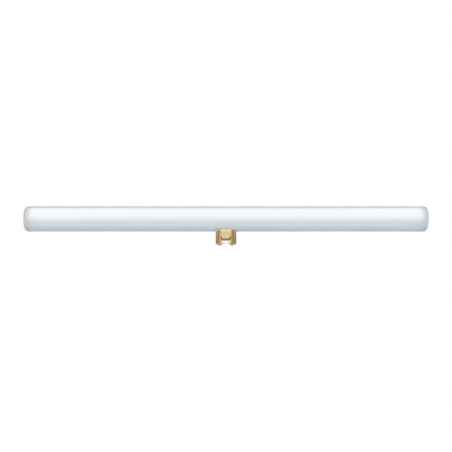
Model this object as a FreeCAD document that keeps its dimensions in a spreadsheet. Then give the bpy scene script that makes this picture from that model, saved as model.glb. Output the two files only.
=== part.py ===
import FreeCAD, Part

import math
import os

import Sketcher

# Linear opal lamp: a sealed glass tube with one central push-fit cap beneath its middle.
# Millimetres. X runs along the tube, Y across it and Z up. The origin lies in the plane of
# the cap's rim, straight under the middle of the tube.

SHEET_NAME = "Sizes"

# Driving dimensions of the lamp, one named cell each.
SIZES = {
    # Glass tube
    "tube_length": 500.0,
    "tube_diameter": 31.5,
    "tube_corner_radius": 4.8,
    "tube_dome_radius": 140.0,
    # Brass shell: a stadium in plan, with a leaning skirt under the glass
    "cap_length": 25.5,
    "cap_width": 14.2,
    "cap_height": 16.3,
    "shell_wall": 0.5,
    "glass_gap": 0.1,
    "skirt_drop": 0.8,
    "skirt_step": 0.22,
    "skirt_lean": 9.0,
    # Pressed ridges on the front and the back of the shell
    "ridge_top": 11.3,
    "ridge_crest": 7.5,
    "ridge_foot": 3.7,
    "ridge_width": 13.3,
    "crest_width": 9.0,
    "crest_height": 0.5,
    "ridge_depth": 1.1,
    "ridge_round": 0.4,
    # Notches in the front and the back of the rim, with their retaining ears
    "notch_width": 10.5,
    "notch_height": 4.5,
    "notch_round": 0.6,
    "ear_reach": 0.6,
    "ear_depth": 1.3,
    "ear_play": 0.1,
    # Moulded insulator inside the shell
    "insulator_play": 0.1,
    "insulator_recess": 1.4,
    "cement_depth": 3.8,
    "insulator_floor": 3.4,
    "insulator_wall": 1.8,
    "wire_hole_diameter": 1.2,
    # Contact plates on the insulator's underside
    "contact_thickness": 0.6,
    "contact_seat": 0.3,
    "contact_gap": 3.2,
    "contact_margin": 1.7,
    "contact_play": 0.05,
    "contact_hole_diameter": 1.0,
    # Lead wires and the solder that joins them to the plates
    "wire_diameter": 0.8,
    "wire_top_pitch": 4.0,
    "wire_bend_drop": 0.9,
    "wire_bend_rise": 1.2,
    "wire_bend_radius": 1.0,
    "wire_end_height": 0.65,
    "solder_radius": 1.35,
    "solder_height": 0.75,
}

HALF_TURN = 180.0
QUARTER = math.pi / 2

# How near a point must lie to a plane of the shell to count as on it.
NEAR = 0.05

# Sketches begin from these values, which their constraints then replace.
START = 1.0
START_TURN = 0.6

# Places that several pieces share. The cap's height runs from its rim to the foot of the glass.
AXIS_HEIGHT = "( cap_height + tube_diameter / 2 )"
SKIRT_FOOT = "( cap_height - skirt_drop )"
INSULATOR_TOP = "( cap_height - cement_depth )"
CHAMBER_FLOOR = "( insulator_recess + insulator_floor )"
PLATE_UNDERSIDE = "( insulator_recess + contact_seat - contact_thickness )"
END_CENTRE = "( cap_length - cap_width ) / 2"
BORE_LENGTH = "( cap_length - 2 * shell_wall )"
BORE_WIDTH = "( cap_width - 2 * shell_wall )"
BLOCK_LENGTH = f"( {BORE_LENGTH} - 2 * insulator_play )"
BLOCK_WIDTH = f"( {BORE_WIDTH} - 2 * insulator_play )"
PLATE_RADIUS = f"( {BORE_WIDTH} / 2 - contact_margin )"


def make_sheet(doc):
    """Puts every driving dimension in a spreadsheet cell with an alias."""
    sheet = doc.addObject("Spreadsheet::Sheet", SHEET_NAME)
    for row, (alias, value) in enumerate(SIZES.items(), start=1):
        sheet.set(f"A{row}", alias)
        sheet.set(f"B{row}", str(value))
        sheet.setAlias(f"B{row}", alias)
    doc.recompute()
    return sheet


def size(text):
    """Turns a formula in plain aliases into one that reads the sheet."""
    words = []
    for word in text.split():
        words.append(f"{SHEET_NAME}.{word}" if word in SIZES else word)
    return " ".join(words)


def make_body(doc, label):
    """Adds a body whose label is the sub-part's name."""
    body = doc.addObject("PartDesign::Body", label)
    body.Label = label
    return body


def origin_plane(body, role):
    """Finds one of the body's own origin planes, such as XY_Plane."""
    return next(item for item in body.Origin.OriginFeatures if item.Role == role)


def make_sketch(body, name, role, offset=None):
    """Attaches a sketch to an origin plane, lifted off it by a formula along its normal."""
    sketch = body.newObject("Sketcher::SketchObject", name)
    sketch.AttachmentSupport = [(origin_plane(body, role), "")]
    sketch.MapMode = "FlatFace"
    if offset is not None:
        sketch.setExpression(".AttachmentOffset.Base.z", size(offset))
    return sketch


def bind(sketch, name, constraint, formula):
    """Adds a dimension to a sketch and binds it to the sheet."""
    index = sketch.addConstraint(constraint)
    sketch.renameConstraint(index, name)
    sketch.setExpression(f"Constraints.{name}", size(formula))


def arc(centre_x, centre_y, radius, start, end):
    """An arc of a circle in the sketch plane, from one angle in radians to another."""
    circle = Part.Circle(FreeCAD.Vector(centre_x, centre_y, 0), FreeCAD.Vector(0, 0, 1), radius)
    return Part.ArcOfCircle(circle, start, end)


def line(start_x, start_y, end_x, end_y):
    """A line segment in the sketch plane."""
    return Part.LineSegment(FreeCAD.Vector(start_x, start_y, 0), FreeCAD.Vector(end_x, end_y, 0))


def draw_stadium(sketch, length, width):
    """Draws a stadium about the origin: two straight sides along X and two round ends."""
    half_run = (SIZES["cap_length"] - SIZES["cap_width"]) / 2
    radius = SIZES["cap_width"] / 2
    top = sketch.addGeometry(line(-half_run, radius, half_run, radius))
    right = sketch.addGeometry(arc(half_run, 0, radius, -QUARTER, QUARTER))
    bottom = sketch.addGeometry(line(-half_run, -radius, half_run, -radius))
    left = sketch.addGeometry(arc(-half_run, 0, radius, QUARTER, 3 * QUARTER))
    for first, first_end, second, second_end in (
        (top, 2, right, 2),
        (right, 1, bottom, 2),
        (bottom, 1, left, 2),
        (left, 1, top, 1),
    ):
        sketch.addConstraint(Sketcher.Constraint("Tangent", first, first_end, second, second_end))
    sketch.addConstraint(Sketcher.Constraint("Symmetric", left, 3, right, 3, -1, 1))
    sketch.addConstraint(Sketcher.Constraint("PointOnObject", right, 3, -1))
    sketch.addConstraint(Sketcher.Constraint("Equal", left, right))
    bind(sketch, "end_radius", Sketcher.Constraint("Radius", right, radius), f"( {width} ) / 2")
    bind(
        sketch,
        "centre_run",
        Sketcher.Constraint("DistanceX", left, 3, right, 3, 2 * half_run),
        f"( {length} ) - ( {width} )",
    )


def draw_circle(sketch, name, radius, across, up="0"):
    """Draws a circle whose centre lies at formulas across and up from the origin."""
    centre = FreeCAD.Vector(START, START, 0)
    circle = sketch.addGeometry(Part.Circle(centre, FreeCAD.Vector(0, 0, 1), START))
    bind(sketch, f"{name}_radius", Sketcher.Constraint("Radius", circle, START), radius)
    bind(sketch, f"{name}_x", Sketcher.Constraint("DistanceX", -1, 1, circle, 3, START), across)
    bind(sketch, f"{name}_y", Sketcher.Constraint("DistanceY", -1, 1, circle, 3, START), up)


def draw_rectangle(sketch, name, low_x, low_y, high_x, high_y):
    """Draws an upright rectangle between two corners given by formulas."""
    low, high = START, 2 * START
    bottom = sketch.addGeometry(line(low, low, high, low))
    right = sketch.addGeometry(line(high, low, high, high))
    top = sketch.addGeometry(line(high, high, low, high))
    left = sketch.addGeometry(line(low, high, low, low))
    for first, second in ((bottom, right), (right, top), (top, left), (left, bottom)):
        sketch.addConstraint(Sketcher.Constraint("Coincident", first, 2, second, 1))
    for edge in (bottom, top):
        sketch.addConstraint(Sketcher.Constraint("Horizontal", edge))
    for edge in (left, right):
        sketch.addConstraint(Sketcher.Constraint("Vertical", edge))
    for corner, point, kind, value, formula in (
        ("low_x", (bottom, 1), "DistanceX", low, low_x),
        ("low_y", (bottom, 1), "DistanceY", low, low_y),
        ("high_x", (right, 2), "DistanceX", high, high_x),
        ("high_y", (right, 2), "DistanceY", high, high_y),
    ):
        bind(sketch, f"{name}_{corner}", Sketcher.Constraint(kind, -1, 1, *point, value), formula)


def make_pad(body, sketch, name, length):
    """Pads a sketch by a formula."""
    pad = body.newObject("PartDesign::Pad", name)
    pad.Profile = sketch
    pad.setExpression("Length", size(length))
    return pad


def make_pocket(body, sketch, name, length=None, both_ways=False, reverse=False):
    """Pockets a sketch by a formula, or all the way through."""
    pocket = body.newObject("PartDesign::Pocket", name)
    pocket.Profile = sketch
    pocket.Reversed = reverse
    if both_ways:
        pocket.SideType = "Symmetric"
    if length is None:
        pocket.Type = "ThroughAll"
    else:
        pocket.setExpression("Length", size(length))
    return pocket


def mirror(body, name, features, role):
    """Repeats features on the far side of one of the body's origin planes."""
    mirrored = body.newObject("PartDesign::Mirrored", name)
    mirrored.Originals = features
    mirrored.MirrorPlane = (origin_plane(body, role), [""])
    body.Tip = mirrored
    return mirrored


def round_edges(body, name, base, chosen, radius):
    """Rounds the edges of a feature that a test picks out."""
    names = [f"Edge{index}" for index, edge in enumerate(base.Shape.Edges, start=1) if chosen(edge)]
    if not names:
        raise ValueError(f"{name} found no edge to round")
    fillet = body.newObject("PartDesign::Fillet", name)
    fillet.Base = (base, names)
    fillet.setExpression("Radius", size(radius))
    return fillet


# Opal glass tube

def make_opal_tube(doc):
    """The sealed tube, turned from its half outline: a shallow dome and a round corner at each end."""
    body = make_body(doc, "opal_tube")
    sketch = make_sketch(body, "tube_outline", "XZ_Plane")
    half = SIZES["tube_length"] / 2
    radius = SIZES["tube_diameter"] / 2
    corner = SIZES["tube_corner_radius"]
    dome = SIZES["tube_dome_radius"]
    dome_centre = half - dome
    tilt = (radius - corner) / (dome - corner)
    axis = sketch.addGeometry(line(-half, 0, half, 0))
    right_dome = sketch.addGeometry(arc(dome_centre, 0, dome, 0, tilt))
    right_corner = sketch.addGeometry(arc(half - corner, radius - corner, corner, tilt, QUARTER))
    wall = sketch.addGeometry(line(half - corner, radius, corner - half, radius))
    left_corner = sketch.addGeometry(
        arc(corner - half, radius - corner, corner, QUARTER, 2 * QUARTER - tilt)
    )
    left_dome = sketch.addGeometry(arc(-dome_centre, 0, dome, 2 * QUARTER - tilt, 2 * QUARTER))
    sketch.addConstraint(Sketcher.Constraint("Coincident", axis, 2, right_dome, 1))
    sketch.addConstraint(Sketcher.Constraint("Tangent", right_dome, 2, right_corner, 1))
    sketch.addConstraint(Sketcher.Constraint("Tangent", right_corner, 2, wall, 1))
    sketch.addConstraint(Sketcher.Constraint("Tangent", wall, 2, left_corner, 1))
    sketch.addConstraint(Sketcher.Constraint("Tangent", left_corner, 2, left_dome, 1))
    sketch.addConstraint(Sketcher.Constraint("Coincident", left_dome, 2, axis, 1))
    sketch.addConstraint(Sketcher.Constraint("Symmetric", axis, 1, axis, 2, -1, 1))
    sketch.addConstraint(Sketcher.Constraint("PointOnObject", axis, 2, -1))
    sketch.addConstraint(Sketcher.Constraint("PointOnObject", right_dome, 3, -1))
    sketch.addConstraint(Sketcher.Constraint("PointOnObject", left_dome, 3, -1))
    sketch.addConstraint(Sketcher.Constraint("Equal", right_dome, left_dome))
    sketch.addConstraint(Sketcher.Constraint("Equal", right_corner, left_corner))
    sketch.addConstraint(Sketcher.Constraint("Horizontal", wall))
    bind(sketch, "length", Sketcher.Constraint("DistanceX", axis, 1, axis, 2, 2 * half), "tube_length")
    bind(
        sketch,
        "wall_radius",
        Sketcher.Constraint("DistanceY", -1, 1, wall, 1, radius),
        "tube_diameter / 2",
    )
    bind(
        sketch,
        "corner_radius",
        Sketcher.Constraint("Radius", right_corner, corner),
        "tube_corner_radius",
    )
    bind(sketch, "dome_radius", Sketcher.Constraint("Radius", right_dome, dome), "tube_dome_radius")
    turned = body.newObject("PartDesign::Revolution", "tube_turned")
    turned.Profile = sketch
    turned.ReferenceAxis = (sketch, ["H_Axis"])
    turned.Angle = 2 * HALF_TURN
    body.setExpression(".Placement.Base.z", size(AXIS_HEIGHT))
    return body


def cut_glass_saddle(body, name, gap):
    """Cuts the seat of the glass tube across a piece that stands under it."""
    sketch = make_sketch(body, f"{name}_outline", "YZ_Plane")
    draw_circle(sketch, "tube", f"tube_diameter / 2 + {gap}", "0", AXIS_HEIGHT)
    return make_pocket(body, sketch, name, both_ways=True)


# Brass cap shell

def draw_ridge_section(body, name, width, low, high, offset):
    """A rectangle across the shell's front face, from one height to another."""
    sketch = make_sketch(body, name, "XZ_Plane", offset)
    draw_rectangle(sketch, "section", f"- ( {width} ) / 2", low, f"( {width} ) / 2", high)
    return sketch


def make_loft(body, kind, name, profile, section):
    """Lofts straight from one section to the next."""
    loft = body.newObject(f"PartDesign::{kind}", name)
    loft.Profile = profile
    loft.Sections = [section]
    loft.Ruled = True
    return loft


def draw_notch(body):
    """The outline of a notch, square at the rim and round at its two top corners."""
    sketch = make_sketch(body, "notch_outline", "XZ_Plane")
    half, top, radius = SIZES["notch_width"] / 2, SIZES["notch_height"], SIZES["notch_round"]
    foot = sketch.addGeometry(line(-half, -top, half, -top))
    right = sketch.addGeometry(line(half, -top, half, top - radius))
    right_round = sketch.addGeometry(arc(half - radius, top - radius, radius, 0, QUARTER))
    crown = sketch.addGeometry(line(half - radius, top, radius - half, top))
    left_round = sketch.addGeometry(arc(radius - half, top - radius, radius, QUARTER, 2 * QUARTER))
    left = sketch.addGeometry(line(-half, top - radius, -half, -top))
    sketch.addConstraint(Sketcher.Constraint("Coincident", foot, 2, right, 1))
    sketch.addConstraint(Sketcher.Constraint("Tangent", right, 2, right_round, 1))
    sketch.addConstraint(Sketcher.Constraint("Tangent", right_round, 2, crown, 1))
    sketch.addConstraint(Sketcher.Constraint("Tangent", crown, 2, left_round, 1))
    sketch.addConstraint(Sketcher.Constraint("Tangent", left_round, 2, left, 1))
    sketch.addConstraint(Sketcher.Constraint("Coincident", left, 2, foot, 1))
    sketch.addConstraint(Sketcher.Constraint("Vertical", right))
    sketch.addConstraint(Sketcher.Constraint("Vertical", left))
    sketch.addConstraint(Sketcher.Constraint("Horizontal", crown))
    sketch.addConstraint(Sketcher.Constraint("Symmetric", foot, 1, foot, 2, -2))
    sketch.addConstraint(Sketcher.Constraint("Equal", right_round, left_round))
    bind(sketch, "width", Sketcher.Constraint("DistanceX", foot, 1, foot, 2, 2 * half), "notch_width")
    bind(sketch, "height", Sketcher.Constraint("DistanceY", -1, 1, crown, 1, top), "notch_height")
    bind(sketch, "foot_depth", Sketcher.Constraint("DistanceY", foot, 1, -1, 1, top), "notch_height")
    bind(sketch, "round", Sketcher.Constraint("Radius", right_round, radius), "notch_round")
    return sketch


def draw_ears(body):
    """The four small ears at the feet of the notches, turned in under the insulator."""
    sketch = make_sketch(body, "ear_outlines", "XY_Plane")
    near = "notch_width / 2 - ear_reach"
    far = "notch_width / 2 + shell_wall"
    outer = "cap_width / 2 - shell_wall / 2"
    inner = "cap_width / 2 - ear_depth"
    draw_rectangle(sketch, "right_back", near, inner, far, outer)
    draw_rectangle(sketch, "left_back", f"- ( {far} )", inner, f"- ( {near} )", outer)
    draw_rectangle(sketch, "right_front", near, f"- ( {outer} )", far, f"- ( {inner} )")
    draw_rectangle(sketch, "left_front", f"- ( {far} )", f"- ( {outer} )", f"- ( {near} )", f"- ( {inner} )")
    return sketch


def make_cap_shell(doc):
    """The drawn brass shell, open below, saddled to the glass above and notched front and back."""
    body = make_body(doc, "cap_shell")
    # Straight wall up to the skirt, then the skirt, which leans in towards the glass.
    wall_outline = make_sketch(body, "wall_outline", "XY_Plane")
    draw_stadium(wall_outline, "cap_length", "cap_width")
    make_pad(body, wall_outline, "wall", SKIRT_FOOT)
    skirt_outline = make_sketch(body, "skirt_outline", "XY_Plane", SKIRT_FOOT)
    draw_stadium(skirt_outline, "cap_length + 2 * skirt_step", "cap_width + 2 * skirt_step")
    skirt = make_pad(body, skirt_outline, "skirt", f"{AXIS_HEIGHT} - {SKIRT_FOOT}")
    skirt.setExpression("TaperAngle", size("- skirt_lean"))
    cut_glass_saddle(body, "saddle", "glass_gap")

    # Ridge pressed out of the front wall, with sloping ends, repeated at the back.
    root = draw_ridge_section(
        body, "ridge_root", "ridge_width", "ridge_foot", "ridge_top", "cap_width / 2 - shell_wall / 2"
    )
    crest = draw_ridge_section(
        body,
        "ridge_crest_section",
        "crest_width",
        "ridge_crest - crest_height / 2",
        "ridge_crest + crest_height / 2",
        "cap_width / 2 + ridge_depth",
    )
    ridge = make_loft(body, "AdditiveLoft", "ridge", root, crest)
    mirror(body, "ridge_pair", [ridge], "XZ_Plane")

    # Hollow the shell, and follow each ridge on its inner side.
    bore_outline = make_sketch(body, "bore_outline", "XY_Plane")
    draw_stadium(bore_outline, BORE_LENGTH, BORE_WIDTH)
    make_pocket(body, bore_outline, "bore", reverse=True)
    inner_root = draw_ridge_section(
        body,
        "groove_root",
        "ridge_width - 2 * shell_wall",
        "ridge_foot + shell_wall",
        "ridge_top - shell_wall",
        "cap_width / 2 - 1.5 * shell_wall",
    )
    inner_crest = draw_ridge_section(
        body,
        "groove_crest_section",
        "crest_width - shell_wall",
        "ridge_crest - crest_height / 2",
        "ridge_crest + crest_height / 2",
        "cap_width / 2 + ridge_depth - shell_wall",
    )
    groove = make_loft(body, "SubtractiveLoft", "groove", inner_root, inner_crest)
    mirror(body, "groove_pair", [groove], "XZ_Plane")

    # Notches through the front and the back of the rim.
    notch = make_pocket(body, draw_notch(body), "notch", both_ways=True)
    doc.recompute()
    round_edges(body, "ridge_rounds", notch, is_ridge_edge, "ridge_round")
    make_pad(body, draw_ears(body), "ears", "insulator_recess - ear_play")
    return body


def is_ridge_edge(edge):
    """Says whether an edge lies on a ridge, at its crest, on a hip or along its upper root."""
    face = SIZES["cap_width"] / 2
    crest = face + SIZES["ridge_depth"]
    points = [vertex.Point for vertex in edge.Vertexes]
    if len(points) < 2:
        return False
    across = [abs(point.y) for point in points]
    on_crest = [abs(value - crest) < NEAR for value in across]
    on_root = [
        abs(value - face) < NEAR and point.z > SIZES["ridge_crest"]
        for value, point in zip(across, points)
    ]
    inside = all(abs(point.x) < SIZES["ridge_width"] / 2 + NEAR for point in points)
    return inside and (all(on_crest) or (any(on_crest) and any(on_root)))


# Moulded insulator, and the cement above it

def draw_plate(sketch, play):
    """Draws a contact plate's outline on the right: a straight inner edge and a round outer end."""
    gap_edge = SIZES["contact_gap"] / 2
    centre = (SIZES["cap_length"] - SIZES["cap_width"]) / 2
    radius = SIZES["cap_width"] / 2 - SIZES["shell_wall"] - SIZES["contact_margin"]
    inner = sketch.addGeometry(line(gap_edge, -radius, gap_edge, radius))
    top = sketch.addGeometry(line(gap_edge, radius, centre, radius))
    end = sketch.addGeometry(arc(centre, 0, radius, -QUARTER, QUARTER))
    bottom = sketch.addGeometry(line(centre, -radius, gap_edge, -radius))
    sketch.addConstraint(Sketcher.Constraint("Vertical", inner))
    sketch.addConstraint(Sketcher.Constraint("Coincident", inner, 2, top, 1))
    sketch.addConstraint(Sketcher.Constraint("Tangent", top, 2, end, 2))
    sketch.addConstraint(Sketcher.Constraint("Tangent", end, 1, bottom, 1))
    sketch.addConstraint(Sketcher.Constraint("Coincident", bottom, 2, inner, 1))
    sketch.addConstraint(Sketcher.Constraint("Horizontal", top))
    sketch.addConstraint(Sketcher.Constraint("Horizontal", bottom))
    sketch.addConstraint(Sketcher.Constraint("PointOnObject", end, 3, -1))
    bind(
        sketch,
        "inner_edge",
        Sketcher.Constraint("DistanceX", -1, 1, inner, 1, gap_edge),
        f"contact_gap / 2 - {play}",
    )
    bind(sketch, "end_centre", Sketcher.Constraint("DistanceX", -1, 1, end, 3, centre), END_CENTRE)
    bind(sketch, "end_radius", Sketcher.Constraint("Radius", end, radius), f"{PLATE_RADIUS} + {play}")


def make_cap_insulator(doc):
    """The moulded block that carries the contacts, hollow above its floor for the wires."""
    body = make_body(doc, "cap_insulator")
    outline = make_sketch(body, "block_outline", "XY_Plane", "insulator_recess")
    draw_stadium(outline, BLOCK_LENGTH, BLOCK_WIDTH)
    make_pad(body, outline, "block", f"{INSULATOR_TOP} - insulator_recess")
    chamber = make_sketch(body, "chamber_outline", "XY_Plane", CHAMBER_FLOOR)
    draw_stadium(chamber, f"{BLOCK_LENGTH} - 2 * insulator_wall", f"{BLOCK_WIDTH} - 2 * insulator_wall")
    make_pocket(body, chamber, "chamber", reverse=True)
    seat_outline = make_sketch(body, "seat_outline", "XY_Plane", "insulator_recess")
    draw_plate(seat_outline, "contact_play")
    seat = make_pocket(body, seat_outline, "contact_seat", length="contact_seat", reverse=True)
    hole_outline = make_sketch(body, "hole_outline", "XY_Plane", "insulator_recess")
    draw_circle(hole_outline, "hole", "wire_hole_diameter / 2", END_CENTRE)
    hole = make_pocket(body, hole_outline, "wire_hole", reverse=True)
    mirror(body, "contact_seats", [seat, hole], "YZ_Plane")
    return body


def make_cap_cement(doc):
    """The bed that bonds the shell to the glass, cast round the wires where they leave it."""
    body = make_body(doc, "cap_cement")
    outline = make_sketch(body, "bed_outline", "XY_Plane", INSULATOR_TOP)
    draw_stadium(outline, BLOCK_LENGTH, BLOCK_WIDTH)
    make_pad(body, outline, "bed", f"{AXIS_HEIGHT} - {INSULATOR_TOP}")
    cut_glass_saddle(body, "glass_seat", "0")
    way_outline = make_sketch(body, "wire_way_outline", "XY_Plane", INSULATOR_TOP)
    draw_circle(way_outline, "way", "wire_diameter / 2", "wire_top_pitch / 2")
    way = make_pocket(body, way_outline, "wire_way", reverse=True)
    mirror(body, "wire_ways", [way], "YZ_Plane")
    return body


# Contacts, lead wires and solder, the same on the left as on the right

def place_on_side(body, side):
    """Turns a right-hand piece half a turn about the cap's upright axis when it belongs on the left."""
    if side == "left":
        body.Placement = FreeCAD.Placement(
            FreeCAD.Vector(0, 0, 0), FreeCAD.Rotation(FreeCAD.Vector(0, 0, 1), HALF_TURN)
        )


def make_contact(doc, side):
    """A flat contact plate with a hole for its wire."""
    body = make_body(doc, f"contact_{side}")
    outline = make_sketch(body, f"plate_outline_{side}", "XY_Plane", PLATE_UNDERSIDE)
    draw_plate(outline, "0")
    make_pad(body, outline, f"plate_{side}", "contact_thickness")
    hole_outline = make_sketch(body, f"plate_hole_outline_{side}", "XY_Plane", PLATE_UNDERSIDE)
    draw_circle(hole_outline, "hole", "contact_hole_diameter / 2", END_CENTRE)
    make_pocket(body, hole_outline, f"plate_hole_{side}", reverse=True)
    place_on_side(body, side)
    return body


def make_lead_wire(doc, side):
    """A lead wire, from under the glass through the cement and the block to its plate."""
    body = make_body(doc, f"lead_wire_{side}")
    top, end = SIZES["cap_height"], SIZES["wire_end_height"]
    start_x, end_x = SIZES["wire_top_pitch"] / 2, (SIZES["cap_length"] - SIZES["cap_width"]) / 2
    radius, turn = SIZES["wire_bend_radius"], START_TURN
    high = SIZES["cap_height"] - SIZES["cement_depth"] - SIZES["wire_bend_drop"]
    low = SIZES["insulator_recess"] + SIZES["insulator_floor"] + SIZES["wire_bend_rise"]
    path = make_sketch(body, f"wire_path_{side}", "XZ_Plane")
    upper = path.addGeometry(line(start_x, top, start_x, high))
    bend_in = path.addGeometry(arc(start_x + radius, high, radius, 2 * QUARTER, 2 * QUARTER + turn))
    slant = path.addGeometry(line(start_x + radius / 2, high - radius, end_x - radius / 2, low + radius))
    bend_out = path.addGeometry(arc(end_x - radius, low, radius, 0, turn))
    lower = path.addGeometry(line(end_x, low, end_x, end))
    path.addConstraint(Sketcher.Constraint("Vertical", upper))
    path.addConstraint(Sketcher.Constraint("Vertical", lower))
    for first, first_end, second, second_end in (
        (upper, 2, bend_in, 1),
        (bend_in, 2, slant, 1),
        (slant, 2, bend_out, 2),
        (bend_out, 1, lower, 1),
    ):
        path.addConstraint(Sketcher.Constraint("Tangent", first, first_end, second, second_end))
    for name, constraint, formula in (
        ("start_x", Sketcher.Constraint("DistanceX", -1, 1, upper, 1, start_x), "wire_top_pitch / 2"),
        ("start_z", Sketcher.Constraint("DistanceY", -1, 1, upper, 1, top), "cap_height"),
        (
            "bend_top",
            Sketcher.Constraint("DistanceY", -1, 1, bend_in, 3, high),
            f"{INSULATOR_TOP} - wire_bend_drop",
        ),
        (
            "bend_bottom",
            Sketcher.Constraint("DistanceY", -1, 1, bend_out, 3, low),
            f"{CHAMBER_FLOOR} + wire_bend_rise",
        ),
        ("top_radius", Sketcher.Constraint("Radius", bend_in, radius), "wire_bend_radius"),
        ("low_radius", Sketcher.Constraint("Radius", bend_out, radius), "wire_bend_radius"),
        ("end_x", Sketcher.Constraint("DistanceX", -1, 1, lower, 2, end_x), END_CENTRE),
        ("end_z", Sketcher.Constraint("DistanceY", -1, 1, lower, 2, end), "wire_end_height"),
    ):
        bind(path, name, constraint, formula)
    section = make_sketch(body, f"wire_section_{side}", "XY_Plane", "cap_height")
    draw_circle(section, "wire", "wire_diameter / 2", "wire_top_pitch / 2")
    pipe = body.newObject("PartDesign::AdditivePipe", f"wire_{side}")
    pipe.Profile = section
    pipe.Spine = (path, [f"Edge{number}" for number in range(1, path.GeometryCount + 1)])
    place_on_side(body, side)
    return body


def make_solder(doc, side):
    """A dome of solder under a plate, turned about its wire and seated over the wire's end."""
    body = make_body(doc, f"solder_{side}")
    sketch = make_sketch(body, f"dome_outline_{side}", "XZ_Plane")
    bore, rim = SIZES["wire_diameter"] / 2, SIZES["solder_radius"]
    height, depth = SIZES["solder_height"], SIZES["solder_height"] / 2
    sphere = (rim * rim + height * height) / (2 * height)
    flat = sketch.addGeometry(line(bore, 0, rim, 0))
    dome = sketch.addGeometry(arc(0, sphere - height, sphere, 3 * QUARTER, 3 * QUARTER + START_TURN))
    axis = sketch.addGeometry(line(0, -height, 0, -depth))
    seat = sketch.addGeometry(line(0, -depth, bore, -depth))
    wall = sketch.addGeometry(line(bore, -depth, bore, 0))
    for first, first_end, second, second_end in (
        (flat, 2, dome, 2),
        (dome, 1, axis, 1),
        (axis, 2, seat, 1),
        (seat, 2, wall, 1),
        (wall, 2, flat, 1),
    ):
        sketch.addConstraint(Sketcher.Constraint("Coincident", first, first_end, second, second_end))
    sketch.addConstraint(Sketcher.Constraint("Horizontal", seat))
    sketch.addConstraint(Sketcher.Constraint("Vertical", wall))
    sketch.addConstraint(Sketcher.Constraint("PointOnObject", flat, 1, -1))
    sketch.addConstraint(Sketcher.Constraint("PointOnObject", flat, 2, -1))
    sketch.addConstraint(Sketcher.Constraint("PointOnObject", dome, 1, -2))
    sketch.addConstraint(Sketcher.Constraint("PointOnObject", dome, 3, -2))
    sketch.addConstraint(Sketcher.Constraint("PointOnObject", axis, 2, -2))
    for name, constraint, formula in (
        ("bore", Sketcher.Constraint("DistanceX", -1, 1, flat, 1, bore), "wire_diameter / 2"),
        ("rim", Sketcher.Constraint("DistanceX", -1, 1, flat, 2, rim), "solder_radius"),
        ("height", Sketcher.Constraint("DistanceY", dome, 1, -1, 1, height), "solder_height"),
        (
            "depth",
            Sketcher.Constraint("DistanceY", seat, 1, -1, 1, depth),
            f"{PLATE_UNDERSIDE} - wire_end_height",
        ),
    ):
        bind(sketch, name, constraint, formula)
    turned = body.newObject("PartDesign::Revolution", f"dome_{side}")
    turned.Profile = sketch
    turned.ReferenceAxis = (sketch, ["V_Axis"])
    turned.Angle = 2 * HALF_TURN
    sign = "- " if side == "left" else ""
    body.setExpression(".Placement.Base.x", size(f"{sign}{END_CENTRE}"))
    body.setExpression(".Placement.Base.z", size(PLATE_UNDERSIDE))
    return body


# Build, check and write

def build_all(doc):
    """Builds every sub-part, in the order in which the lamp goes together."""
    bodies = [
        make_opal_tube(doc),
        make_cap_shell(doc),
        make_cap_cement(doc),
        make_cap_insulator(doc),
    ]
    for side in ("left", "right"):
        bodies += [make_contact(doc, side), make_lead_wire(doc, side), make_solder(doc, side)]
    doc.recompute()
    return bodies


def check_all(doc, bodies):
    """Stops the run when an object failed or a sub-part isn't one valid solid."""
    failed = [item.Name for item in doc.Objects if {"Invalid", "Error"} & set(item.State)]
    if failed:
        raise RuntimeError(f"failed objects: {failed}")
    for body in bodies:
        shape = body.Shape
        if shape.isNull() or not shape.isValid() or len(shape.Solids) != 1:
            raise RuntimeError(f"{body.Label} is not one valid solid")


def main():
    """Makes the document, builds the lamp and writes one file for each sub-part."""
    doc = FreeCAD.newDocument("linear_lamp")
    make_sheet(doc)
    bodies = build_all(doc)
    check_all(doc, bodies)
    os.makedirs("parts", exist_ok=True)
    for body in bodies:
        body.Shape.exportStep(os.path.join("parts", f"{body.Label}.step"))
        box = body.Shape.BoundBox
        print(
            f"{body.Label}: {body.Shape.Volume:.2f} mm3, "
            f"x {box.XMin:.2f} {box.XMax:.2f}, "
            f"y {box.YMin:.2f} {box.YMax:.2f}, "
            f"z {box.ZMin:.2f} {box.ZMax:.2f}"
        )


main()
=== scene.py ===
"""Dresses a linear opal lamp: a sealed white glass tube with a brass push-fit cap under its middle.

Metres. X runs along the tube, Y away from the camera and Z up. The origin lies in the plane of the
cap's rim, straight under the middle of the tube.
"""

import logging
import math
from collections.abc import Iterator, Mapping, Sequence
from dataclasses import dataclass, field
from enum import Enum
from typing import Any

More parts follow.
